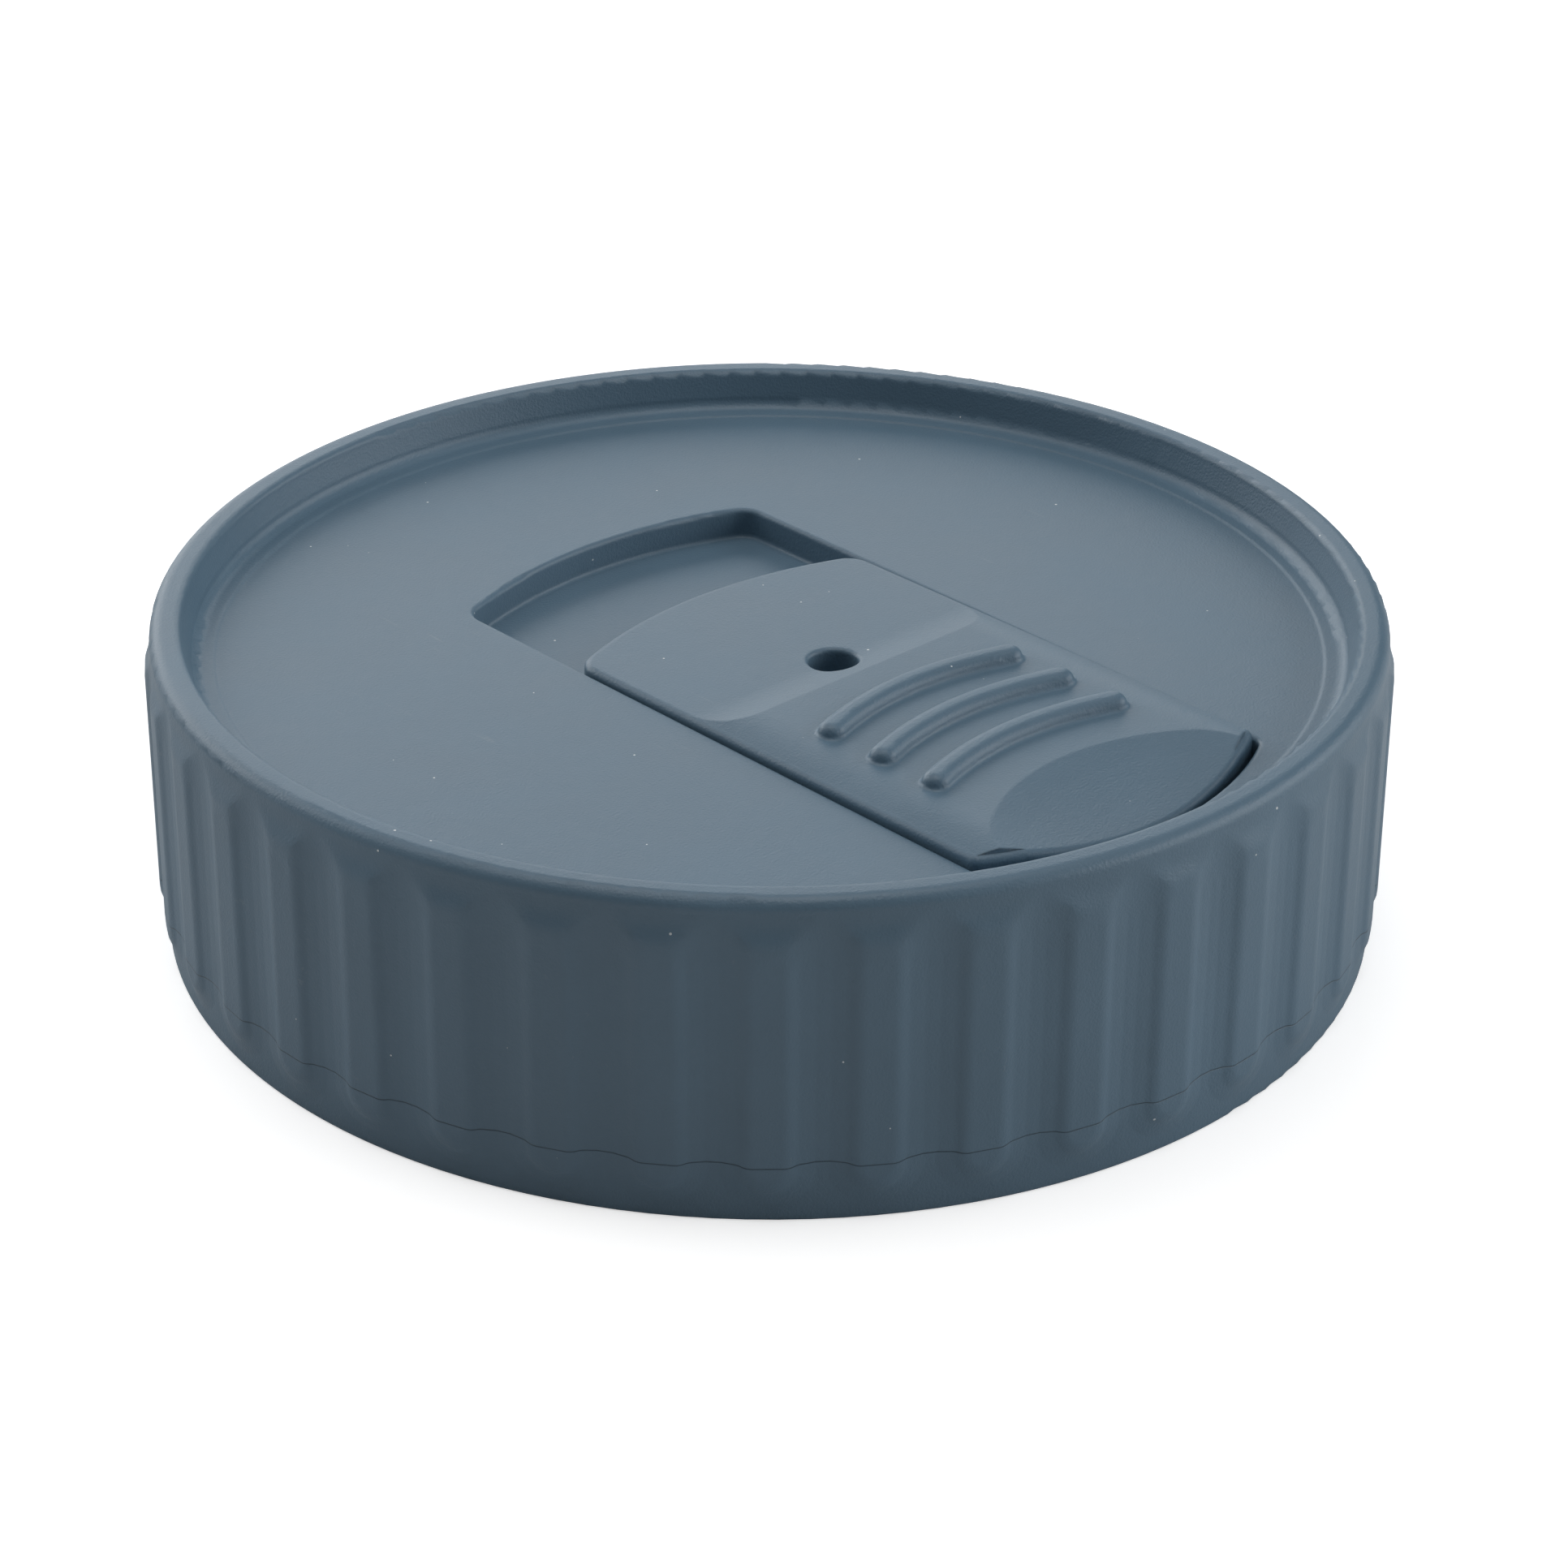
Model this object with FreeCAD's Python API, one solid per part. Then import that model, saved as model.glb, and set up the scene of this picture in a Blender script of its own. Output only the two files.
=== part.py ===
"""Screw lid with a sliding drinking closure, for a wide-mouth preserving jar.

Millimetres, +Z up. The origin is on the lid's axis, at the level of its lower edge.
The drinking side faces -Y. A place along the closure's path is given as its distance
from the axis towards the drinking side, and is called its reach. A size named "back"
is measured from the outer end of the path towards its inner end.
"""
import FreeCAD, Part
import math
import os

from FreeCAD import Vector

Z_AXIS = Vector(0, 0, 1)

# Shell
rim_radius = 45.9
lid_height = 25.0
skirt_wall = 2.4
foot_inset = 0.1
foot_round = 0.3
mouth_chamfer = 0.6
mouth_relief = 0.6
mouth_depth = 3.3
rim_width = 2.4
rim_outer_round = 1.0
rim_inner_round = 0.5

# Deck inside the rim
deck_depth = 3.2
deck_thickness = 2.2
rim_wall_draft = 0.5
rim_foot_fillet = 0.9
deck_border_width = 0.8
deck_border_height = 0.12

# Grip ribs round the skirt
rib_count = 39
rib_first_angle = -3.6
rib_height = 0.45
rib_crest_width = 2.0
rib_base_width = 7.2
rib_bow = 1.7
rib_flank_slope = 28.0
rib_runout_slope = 12.0
rib_foot_height = 4.35
rib_top_gap = 3.5
rib_root = 0.4

# Parting line of the mould, where the skirt is widest
parting_height = 4.8

# Thread for the jar neck
thread_pitch = 6.35
thread_depth = 1.3
thread_root_width = 2.8
thread_crest_width = 1.2
thread_root = 0.4
thread_start_height = 5.2
thread_ring_gap = 2.86
thread_fade_angle = 30.0

# Seat of the sealing ring
seat_drop = 4.0
ring_width = 5.7
ring_thickness = 1.6
ring_side_gap = 0.3
ring_edge_round = 0.3
keeper_width = 0.8
keeper_height = 1.0

# Recess that the slider runs in
recess_rim_gap = 3.0
recess_length = 61.0
recess_depth = 2.4
recess_half_width = 14.3
recess_inner_bow = 35.0
recess_inner_corner = 1.8
recess_outer_bow = 28.0
recess_outer_corner = 1.0
recess_floor_fillet = 0.3
recess_edge_round = 0.35
tray_floor = 1.6
tray_wall = 1.5

# Slider
slider_side_gap = 0.2
slider_end_gap = 0.5
slider_floor_gap = 0.15
slider_travel = 12.0
slider_inner_corner = 2.2
slider_outer_corner = 0.9
slider_rise_inner = 0.3
slider_rise_outer = 0.75
slider_edge_round = 0.5

# Raised grip on the slider
crown_height = 0.5
crown_flat_half = 10.4
crease_back = 29.9
ramp_run = 3.6

# Finger ribs on the slider
finger_count = 3
finger_first_back = 25.4
finger_pitch = 5.25
finger_bow = 26.0
finger_half_span = 8.9
finger_width = 2.1
finger_height = 0.95
finger_round = 0.85
finger_root_round = 0.3

# Thumb scoop at the slider's outer end
scoop_back = 10.4
scoop_plan_radius = 16.5
scoop_depth = 1.7

# Vent and drinking opening
vent_back = 33.1
vent_radius = 1.88
vent_round = 0.3
sip_back = 5.2
sip_length = 6.2
sip_half_width = 7.5

# Snap legs that hold the slider down
leg_back = 28.0
leg_length = 4.5
leg_offset = 9.0
leg_thickness = 1.4
leg_root = 0.5
leg_gap = 0.25
barb_overhang = 0.9
barb_height = 1.3
barb_tip = 0.45
barb_gap = 0.2

# How far a cutting or trimming shape reaches past the part that it shapes
cut_margin = 5.0

# Levels worked out from the sizes above
deck_z = lid_height - deck_depth
deck_under_z = deck_z - deck_thickness
floor_z = deck_z - recess_depth
tray_under_z = floor_z - tray_floor
seat_z = deck_z - seat_drop
ring_under_z = seat_z - ring_thickness
slider_under_z = floor_z + slider_floor_gap

# Radii worked out from the sizes above
inner_radius = rim_radius - skirt_wall
mouth_radius = inner_radius + mouth_relief
rim_inner = rim_radius - rim_width
wall_foot = rim_inner - rim_wall_draft
ring_outer_radius = inner_radius - ring_side_gap
ring_inner_radius = ring_outer_radius - ring_width

# Reaches along the slider's path
recess_outer_reach = wall_foot - recess_rim_gap
recess_inner_reach = recess_outer_reach - recess_length
slider_outer_reach = recess_outer_reach - slider_end_gap
slider_inner_reach = recess_inner_reach + slider_end_gap + slider_travel
slider_half_width = recess_half_width - slider_side_gap
crease_reach = recess_outer_reach - crease_back
finger_first_reach = recess_outer_reach - finger_first_back
scoop_reach = recess_outer_reach - scoop_back
vent_reach = recess_outer_reach - vent_back
sip_outer_reach = recess_outer_reach - sip_back
sip_inner_reach = sip_outer_reach - sip_length
leg_reach = recess_outer_reach - leg_back


def point(side, reach, z):
    """A point at a distance to the side of the slider's path and a reach along it."""
    return Vector(side, -reach, z)


def turned_solid(profile):
    """Revolve a closed wire in the XZ plane once round the Z axis."""
    return Part.Face(profile).revolve(Vector(0, 0, 0), Z_AXIS, 360)


def arc_through(start, middle, end):
    """A circular edge through three points."""
    return Part.Arc(start, middle, end).toShape()


def corner_middle(centre_r, centre_z, radius, degrees):
    """A point on a rounding of the turned profile, at an angle from the outward direction."""
    angle = math.radians(degrees)
    return Vector(centre_r + radius * math.cos(angle), 0, centre_z + radius * math.sin(angle))


def prism(wire, z_low, z_high):
    """Raise a flat wire, drawn at z = 0, between two levels."""
    solid = Part.Face(wire).extrude(Vector(0, 0, z_high - z_low))
    solid.translate(Vector(0, 0, z_low))
    return solid


def lowest_face(solid):
    """The face whose middle is lowest."""
    return min(solid.Faces, key=lambda face: face.CenterOfMass.z)


def highest_face(solid):
    """The face whose middle is highest."""
    return max(solid.Faces, key=lambda face: face.CenterOfMass.z)


def middle_of(edge):
    """The point half way along an edge."""
    return edge.valueAt((edge.FirstParameter + edge.LastParameter) / 2)


def is_upright(edge):
    """Whether an edge stands upright."""
    ends = [vertex.Point for vertex in edge.Vertexes]
    return len(ends) == 2 and abs(ends[0].x - ends[1].x) + abs(ends[0].y - ends[1].y) < 1e-6


def lies_on(shape, place):
    """Whether a place lies on a shape's surface or line."""
    return shape.distToShape(Part.Vertex(place))[0] < 1e-3


def path_outline(half_width, inner_reach, inner_bow, inner_corner, outer_reach, outer_bow, outer_corner):
    """Outline with straight sides and two bowed ends, with its four corners rounded."""
    inner_sag = inner_bow - math.sqrt(inner_bow ** 2 - half_width ** 2)
    outer_sag = outer_bow - math.sqrt(outer_bow ** 2 - half_width ** 2)
    inner_side = inner_reach + inner_sag
    outer_side = outer_reach - outer_sag
    corners = [
        point(-half_width, inner_side, 0),
        point(-half_width, outer_side, 0),
        point(half_width, outer_side, 0),
        point(half_width, inner_side, 0),
    ]
    wire = Part.Wire([
        Part.makeLine(corners[0], corners[1]),
        arc_through(corners[1], point(0, outer_reach, 0), corners[2]),
        Part.makeLine(corners[2], corners[3]),
        arc_through(corners[3], point(0, inner_reach, 0), corners[0]),
    ])
    block = Part.Face(wire).extrude(Z_AXIS)
    for reach, radius in ((inner_side, inner_corner), (outer_side, outer_corner)):
        uprights = [edge for edge in block.Edges
                    if is_upright(edge) and abs(middle_of(edge).y + reach) < 1e-3]
        block = block.makeFillet(radius, uprights)
    return lowest_face(block).OuterWire


def recess_outline(margin=0.0):
    """Outline of the slider's recess, grown outwards by a margin."""
    return path_outline(
        recess_half_width + margin,
        recess_inner_reach - margin,
        recess_inner_bow + margin,
        recess_inner_corner + margin,
        recess_outer_reach + margin,
        recess_outer_bow + margin,
        recess_outer_corner + margin,
    )


def shell_profile():
    """Half section of the lid without its recess: skirt, rim, deck and seal seat."""
    foot_radius = rim_radius - foot_inset
    border_outer = wall_foot - rim_foot_fillet
    border_inner = border_outer - deck_border_width
    border_z = deck_z + deck_border_height
    keeper_outer = ring_inner_radius - ring_side_gap
    keeper_inner = keeper_outer - keeper_width
    outer_round_z = lid_height - rim_outer_round
    outer_round_r = rim_radius - rim_outer_round
    inner_round_z = lid_height - rim_inner_round
    inner_round_r = rim_inner + rim_inner_round
    relief_z = mouth_depth + mouth_relief

    def at(r, z):
        return Vector(r, 0, z)

    outside = [
        Part.makeLine(at(mouth_radius + mouth_chamfer, 0), at(foot_radius - foot_round, 0)),
        arc_through(
            at(foot_radius - foot_round, 0),
            corner_middle(foot_radius - foot_round, foot_round, foot_round, -45),
            at(foot_radius, foot_round),
        ),
        Part.makeLine(at(foot_radius, foot_round), at(rim_radius, parting_height)),
        Part.makeLine(at(rim_radius, parting_height), at(rim_radius, outer_round_z)),
        arc_through(
            at(rim_radius, outer_round_z),
            corner_middle(outer_round_r, outer_round_z, rim_outer_round, 45),
            at(outer_round_r, lid_height),
        ),
        Part.makeLine(at(outer_round_r, lid_height), at(inner_round_r, lid_height)),
        arc_through(
            at(inner_round_r, lid_height),
            corner_middle(inner_round_r, inner_round_z, rim_inner_round, 135),
            at(rim_inner, inner_round_z),
        ),
    ]
    deck_top = [
        Part.makeLine(at(rim_inner, inner_round_z), at(wall_foot, border_z + rim_foot_fillet)),
        arc_through(
            at(wall_foot, border_z + rim_foot_fillet),
            corner_middle(border_outer, border_z + rim_foot_fillet, rim_foot_fillet, -45),
            at(border_outer, border_z),
        ),
        Part.makeLine(at(border_outer, border_z), at(border_inner, border_z)),
        Part.makeLine(at(border_inner, border_z), at(border_inner - deck_border_height, deck_z)),
        Part.makeLine(at(border_inner - deck_border_height, deck_z), at(0, deck_z)),
        Part.makeLine(at(0, deck_z), at(0, deck_under_z)),
    ]
    inside = [
        Part.makeLine(at(0, deck_under_z), at(keeper_inner, deck_under_z)),
        Part.makeLine(at(keeper_inner, deck_under_z), at(keeper_inner, seat_z - keeper_height)),
        Part.makeLine(at(keeper_inner, seat_z - keeper_height), at(keeper_outer, seat_z - keeper_height)),
        Part.makeLine(at(keeper_outer, seat_z - keeper_height), at(keeper_outer, seat_z)),
        Part.makeLine(at(keeper_outer, seat_z), at(inner_radius, seat_z)),
        Part.makeLine(at(inner_radius, seat_z), at(inner_radius, relief_z)),
        Part.makeLine(at(inner_radius, relief_z), at(mouth_radius, mouth_depth)),
        Part.makeLine(at(mouth_radius, mouth_depth), at(mouth_radius, mouth_chamfer)),
        Part.makeLine(at(mouth_radius, mouth_chamfer), at(mouth_radius + mouth_chamfer, 0)),
    ]
    return Part.Wire(outside + deck_top + inside)


def flank_edges(at, start, end):
    """Edges of a rib's soft flank, from a start on its crest to an end along the flank.

    The flank bows over to its steepest slope, hollows again and runs out straight.
    """
    steep = math.radians(rib_flank_slope)
    runout = math.radians(rib_runout_slope)

    def bowed(angle):
        return start + rib_bow * math.sin(angle), rib_height - rib_bow * (1 - math.cos(angle))

    def hollowed(angle):
        along, height = bowed(steep)
        along += rib_bow * (math.sin(steep) - math.sin(angle))
        return along, height - rib_bow * (math.cos(angle) - math.cos(steep))

    straight_from, straight_height = hollowed(runout)
    end_height = straight_height - (end - straight_from) * math.tan(runout)
    return [
        arc_through(at(*bowed(0)), at(*bowed(steep / 2)), at(*bowed(steep))),
        arc_through(at(*bowed(steep)), at(*hollowed((steep + runout) / 2)), at(*hollowed(runout))),
        Part.makeLine(at(*hollowed(runout)), at(end, end_height)),
    ]


def rib_half_section():
    """Half of a rib's cross-section, at the level where its round foot begins."""
    half = rib_base_width / 2
    crest_half = rib_crest_width / 2

    def at(side, height):
        return Vector(rim_radius + height, side, rib_foot_height)

    flank = flank_edges(at, crest_half, half)
    return Part.Face(Part.Wire([
        Part.makeLine(at(0, -rib_root), at(0, rib_height)),
        Part.makeLine(at(0, rib_height), at(crest_half, rib_height)),
    ] + flank + [
        Part.makeLine(flank[-1].Vertexes[-1].Point, at(half, -rib_root)),
        Part.makeLine(at(half, -rib_root), at(0, -rib_root)),
    ]))


def space_above_rib():
    """The space over the soft ramp at the top end of a rib."""
    start = lid_height - rib_top_gap
    end = lid_height + cut_margin
    clear = rib_height + cut_margin

    def at(z, height):
        return Vector(rim_radius + height, -rib_base_width, z)

    ramp = flank_edges(at, start, end)
    outline = Part.Wire(ramp + [
        Part.makeLine(ramp[-1].Vertexes[-1].Point, at(end, clear)),
        Part.makeLine(at(end, clear), at(start, clear)),
        Part.makeLine(at(start, clear), at(start, rib_height)),
    ])
    return Part.Face(outline).extrude(Vector(0, 2 * rib_base_width, 0))


def grip_ribs():
    """All grip ribs: soft-edged bars with a round foot and a ramped top, rooted in the skirt."""
    section = rib_half_section()
    length = lid_height - rim_outer_round - rib_foot_height
    half_bar = section.extrude(Vector(0, 0, length))
    other_half = half_bar.mirror(Vector(0, 0, 0), Vector(0, 1, 0))
    foot = section.revolve(Vector(0, 0, rib_foot_height), Vector(1, 0, 0), -180)
    bar = half_bar.multiFuse([other_half, foot]).removeSplitter()
    first = bar.cut(space_above_rib())
    ribs = []
    for index in range(rib_count):
        rib = first.copy()
        rib.rotate(Vector(0, 0, 0), Z_AXIS, rib_first_angle + index * 360 / rib_count)
        ribs.append(rib)
    return ribs


def thread_ridge():
    """Internal thread ridge, faded out at both ends, rooted in the skirt's wall."""
    height = ring_under_z - thread_ring_gap - thread_start_height
    flank = (thread_root_width - thread_crest_width) / 2
    root_half = thread_root_width / 2 + flank * thread_root / thread_depth
    crest_half = thread_crest_width / 2
    root_radius = inner_radius + thread_root
    crest_radius = inner_radius - thread_depth
    section = Part.makePolygon([
        Vector(root_radius, 0, -root_half),
        Vector(crest_radius, 0, -crest_half),
        Vector(crest_radius, 0, crest_half),
        Vector(root_radius, 0, root_half),
        Vector(root_radius, 0, -root_half),
    ])
    helix = Part.Wire(Part.makeHelix(thread_pitch, height, inner_radius))
    ridge = helix.makePipeShell([section], True, True)
    ridge.translate(Vector(0, 0, thread_start_height))
    shift = (root_radius - crest_radius) / (1 - math.cos(math.radians(thread_fade_angle)))
    for climb in (0, height):
        angle = climb / thread_pitch * 2 * math.pi
        low = thread_start_height + climb - thread_pitch / 2
        centre = Vector(shift * math.cos(angle), shift * math.sin(angle), low)
        ridge = ridge.cut(Part.makeCylinder(root_radius - shift, thread_pitch, centre))
    return ridge


def recess_cutter():
    """The recess's space, with a fillet where its wall meets its floor."""
    block = prism(recess_outline(), floor_z, lid_height)
    return block.makeFillet(recess_floor_fillet, lowest_face(block).Edges)


def sip_cutter():
    """The drinking opening, rounded at its ends, through the tray's floor."""
    middle = (sip_outer_reach + sip_inner_reach) / 2
    straight = sip_half_width - sip_length / 2
    right_end = arc_through(
        point(straight, sip_inner_reach, 0),
        point(sip_half_width, middle, 0),
        point(straight, sip_outer_reach, 0),
    )
    left_end = arc_through(
        point(-straight, sip_outer_reach, 0),
        point(-sip_half_width, middle, 0),
        point(-straight, sip_inner_reach, 0),
    )
    outline = Part.Wire([
        Part.makeLine(point(-straight, sip_inner_reach, 0), point(straight, sip_inner_reach, 0)),
        right_end,
        Part.makeLine(point(straight, sip_outer_reach, 0), point(-straight, sip_outer_reach, 0)),
        left_end,
    ])
    return prism(outline, 0, lid_height)


def leg_slot_cutters():
    """Two slots in the tray's floor that the slider's legs run through."""
    length = leg_length + slider_travel + 2 * slider_end_gap
    inner_end = leg_reach - slider_travel - slider_end_gap
    width = leg_thickness + 2 * leg_gap
    slots = []
    for side in (-1, 1):
        low_x = side * leg_offset - width / 2
        slots.append(Part.makeBox(width, length, lid_height, Vector(low_x, -inner_end - length, 0)))
    return slots


def recess_rim_edges(body):
    """The edges where the recess's wall meets the deck."""
    outline = recess_outline()
    outline.translate(Vector(0, 0, deck_z))
    return [edge for edge in body.Edges if lies_on(outline, middle_of(edge))]


def lid_body():
    """The screw lid: skirt with grip ribs and thread, rim, deck, recess and openings."""
    shell = turned_solid(shell_profile())
    valley_angle = rib_first_angle + 180 / rib_count
    shell.rotate(Vector(0, 0, 0), Z_AXIS, valley_angle)
    tray = prism(recess_outline(tray_wall), tray_under_z, deck_z)
    tray_limit = Part.makeCylinder(inner_radius, lid_height)
    body = shell.multiFuse([tray.common(tray_limit)] + grip_ribs())
    floor_vent = Part.makeCylinder(vent_radius, lid_height, point(0, vent_reach - slider_travel, 0))
    for cutter in [recess_cutter(), floor_vent, sip_cutter()] + leg_slot_cutters():
        body = body.cut(cutter)
    body = body.fuse(thread_ridge())
    body = body.removeSplitter()
    return body.makeFillet(recess_edge_round, recess_rim_edges(body))


def slider_outline(inset=0.0):
    """Outline of the slider, drawn in by an inset."""
    return path_outline(
        slider_half_width - inset,
        slider_inner_reach + inset,
        recess_inner_bow - slider_end_gap - inset,
        slider_inner_corner - inset,
        slider_outer_reach - inset,
        recess_outer_bow - slider_end_gap - inset,
        slider_outer_corner - inset,
    )


def slider_top_z(reach):
    """Height of the slider's upper face at a reach: it climbs towards the outer end."""
    share = (reach - slider_inner_reach) / (slider_outer_reach - slider_inner_reach)
    return deck_z + slider_rise_inner + share * (slider_rise_outer - slider_rise_inner)


def space_above_slider():
    """Everything above the slider's sloping upper face."""
    near = slider_inner_reach - cut_margin
    far = slider_outer_reach + cut_margin
    side = slider_half_width + cut_margin
    ceiling = lid_height + 2 * cut_margin
    profile = Part.makePolygon([
        point(-side, near, slider_top_z(near)),
        point(-side, far, slider_top_z(far)),
        point(-side, far, ceiling),
        point(-side, near, ceiling),
        point(-side, near, slider_top_z(near)),
    ])
    return Part.Face(profile).extrude(Vector(2 * side, 0, 0))


def slider_plate():
    """The slider's plate, with its sloping top, its thumb scoop and rounded upper edges."""
    block = prism(slider_outline(), slider_under_z, lid_height + cut_margin)
    plate = block.cut(space_above_slider()).cut(thumb_scoop())
    outline = slider_outline()
    upper_edges = []
    for edge in plate.Edges:
        middle = middle_of(edge)
        is_above = middle.z > slider_under_z + 1e-3 and not is_upright(edge)
        if is_above and lies_on(outline, Vector(middle.x, middle.y, 0)):
            upper_edges.append(edge)
    return plate.makeFillet(slider_edge_round, upper_edges)


def grip_crown():
    """Raised grip on the slider: crowned across, with a hollow ramp at its inner edge."""
    half = slider_half_width - slider_edge_round
    run = half - crown_flat_half
    bow = (run ** 2 + crown_height ** 2) / (2 * crown_height)
    angle = math.asin(run / bow) / 2
    middle_side = crown_flat_half + bow * math.sin(angle)
    middle_drop = bow * (1 - math.cos(angle))
    start = crease_reach - ramp_run
    far = slider_outer_reach + cut_margin
    base = slider_top_z(start)
    top = base + crown_height

    def at(side, z):
        return point(side, start, z)

    section = Part.Wire([
        Part.makeLine(at(-half, slider_under_z), at(-half, base)),
        arc_through(at(-half, base), at(-middle_side, top - middle_drop), at(-crown_flat_half, top)),
        Part.makeLine(at(-crown_flat_half, top), at(crown_flat_half, top)),
        arc_through(at(crown_flat_half, top), at(middle_side, top - middle_drop), at(half, base)),
        Part.makeLine(at(half, base), at(half, slider_under_z)),
        Part.makeLine(at(half, slider_under_z), at(-half, slider_under_z)),
    ])
    climb = slider_top_z(far) - base
    crown = Part.Face(section).extrude(Vector(0, start - far, climb))
    ramp_bow = (ramp_run ** 2 + crown_height ** 2) / (2 * crown_height)
    side = slider_half_width + cut_margin
    ramp = Part.makeCylinder(ramp_bow, 2 * side, point(-side, start, base + ramp_bow), Vector(1, 0, 0))
    limit = prism(slider_outline(slider_edge_round), slider_under_z, lid_height + cut_margin)
    return crown.cut(ramp).common(limit).cut(thumb_scoop())


def finger_rib(index):
    """One curved finger rib with rounded top edges."""
    reach = finger_first_reach + index * finger_pitch
    centre = point(0, reach + finger_bow, 0)
    top = slider_top_z(reach) + crown_height + finger_height
    outer_radius = finger_bow + finger_width / 2
    height = top - slider_under_z
    ring = Part.makeCylinder(outer_radius, height, centre)
    ring = ring.cut(Part.makeCylinder(outer_radius - finger_width, height, centre))
    span = math.asin(finger_half_span / finger_bow)
    far = 2 * finger_bow
    wedge = Part.Face(Part.makePolygon([
        centre,
        centre + Vector(-far * math.sin(span), far * math.cos(span), 0),
        centre + Vector(far * math.sin(span), far * math.cos(span), 0),
        centre,
    ])).extrude(Vector(0, 0, height))
    rib = ring.common(wedge)
    for side in (-1, 1):
        end = centre + Vector(side * finger_bow * math.sin(span), finger_bow * math.cos(span), 0)
        rib = rib.fuse(Part.makeCylinder(finger_width / 2, height, end))
    rib = rib.removeSplitter()
    rib = rib.makeFillet(finger_round, highest_face(rib).Edges)
    rib.translate(Vector(0, 0, slider_under_z))
    return rib


def thumb_scoop():
    """Ball that hollows the slider's outer end into a thumb scoop."""
    ball_radius = (scoop_plan_radius ** 2 + scoop_depth ** 2) / (2 * scoop_depth)
    level = slider_top_z((scoop_reach + slider_outer_reach) / 2) + crown_height
    centre = point(0, scoop_reach + scoop_plan_radius, level + ball_radius - scoop_depth)
    return Part.makeSphere(ball_radius, centre)


def vent_hole(body):
    """Bore the slider's vent and round its upper rim."""
    bored = body.cut(Part.makeCylinder(vent_radius, lid_height + cut_margin, point(0, vent_reach, 0)))
    rims = []
    for edge in bored.Edges:
        middle = middle_of(edge)
        off = math.hypot(middle.x, middle.y + vent_reach)
        if abs(off - vent_radius) < 1e-3 and edge.BoundBox.ZMin > deck_z:
            rims.append(edge)
    return bored.makeFillet(vent_round, rims)


def add_finger_rib(body, index):
    """Stand a finger rib on the slider, with a fillet round its foot."""
    rib = finger_rib(index)
    joined = body.fuse(rib).removeSplitter()
    foot = []
    for edge in joined.Edges:
        middle = middle_of(edge)
        if middle.z > deck_z and lies_on(rib, middle) and lies_on(body, middle):
            foot.append(edge)
    return joined.makeFillet(finger_root_round, foot)


def snap_legs():
    """Two legs under the slider, each with a barb that hooks below the tray's floor."""
    shelf = tray_under_z - barb_gap
    foot = shelf - barb_height
    root = slider_under_z + leg_root
    legs = []
    for side in (-1, 1):
        inner_x = side * (leg_offset - leg_thickness / 2)
        outer_x = side * (leg_offset + leg_thickness / 2)
        barb_x = outer_x + side * barb_overhang
        profile = Part.makePolygon([
            point(inner_x, leg_reach, root),
            point(outer_x, leg_reach, root),
            point(outer_x, leg_reach, shelf),
            point(barb_x, leg_reach, shelf),
            point(barb_x, leg_reach, shelf - barb_tip),
            point(outer_x, leg_reach, foot),
            point(inner_x, leg_reach, foot),
            point(inner_x, leg_reach, root),
        ])
        legs.append(Part.Face(profile).extrude(Vector(0, -leg_length, 0)))
    return legs


def slider():
    """The closure: plate with a vent, raised grip, finger ribs, scoop and snap legs."""
    body = vent_hole(slider_plate().fuse(grip_crown()).removeSplitter())
    for index in range(finger_count):
        body = add_finger_rib(body, index)
    return body.multiFuse(snap_legs()).removeSplitter()


def sealing_ring():
    """Flat ring with rounded edges that seals on the jar's lip."""
    outer = Part.makeCylinder(ring_outer_radius, ring_thickness, Vector(0, 0, ring_under_z))
    ring = outer.cut(Part.makeCylinder(ring_inner_radius, ring_thickness, Vector(0, 0, ring_under_z)))
    return ring.makeFillet(ring_edge_round, lowest_face(ring).Edges)


def main():
    os.makedirs("parts", exist_ok=True)
    nodes = {
        "lid_body": lid_body,
        "slider": slider,
        "sealing_ring": sealing_ring,
    }
    for name, build in nodes.items():
        shape = build()
        solids = shape.Solids
        if len(solids) == 1:
            shape = solids[0]
        box = shape.BoundBox
        print(name, "solids", len(solids), "valid", shape.isValid(), "volume %.1f" % shape.Volume)
        print("   x %.2f %.2f" % (box.XMin, box.XMax), " y %.2f %.2f" % (box.YMin, box.YMax))
        print("   z %.2f %.2f" % (box.ZMin, box.ZMax))
        shape.exportStep("parts/" + name + ".step")


main()
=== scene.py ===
"""Finishes, studio and camera for a screw lid with a sliding drinking closure.

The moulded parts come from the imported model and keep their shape. This script gives each
of them its finish, and sets up the floor, the lamps and the camera.
"""
import logging
import math
from dataclasses import dataclass, field
from enum import Enum

import bpy
from mathutils import Matrix, Vector

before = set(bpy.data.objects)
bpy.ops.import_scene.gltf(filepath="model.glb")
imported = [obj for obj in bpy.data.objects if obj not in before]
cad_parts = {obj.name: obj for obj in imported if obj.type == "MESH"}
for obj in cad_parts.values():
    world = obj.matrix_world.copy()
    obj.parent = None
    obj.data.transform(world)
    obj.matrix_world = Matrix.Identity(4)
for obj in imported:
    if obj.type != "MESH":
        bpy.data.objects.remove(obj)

MM = 0.001

Colour = tuple[float, float, float]
Point = tuple[float, float, float]
Socket = bpy.types.NodeSocket
Value = float | Socket

WHITE: Colour = (1.0, 1.0, 1.0)

log = logging.getLogger("lid")


class Texture(Enum):
    """The procedural patterns that the effects are made of."""

    NOISE = "ShaderNodeTexNoise"
    CELLS = "ShaderNodeTexVoronoi"


def rgba(colour: Colour, shade: float = 1.0) -> tuple[float, float, float, float]:
    """A colour made lighter or darker by a factor, with full opacity."""
    return (shade * colour[0], shade * colour[1], shade * colour[2], 1.0)


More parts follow.
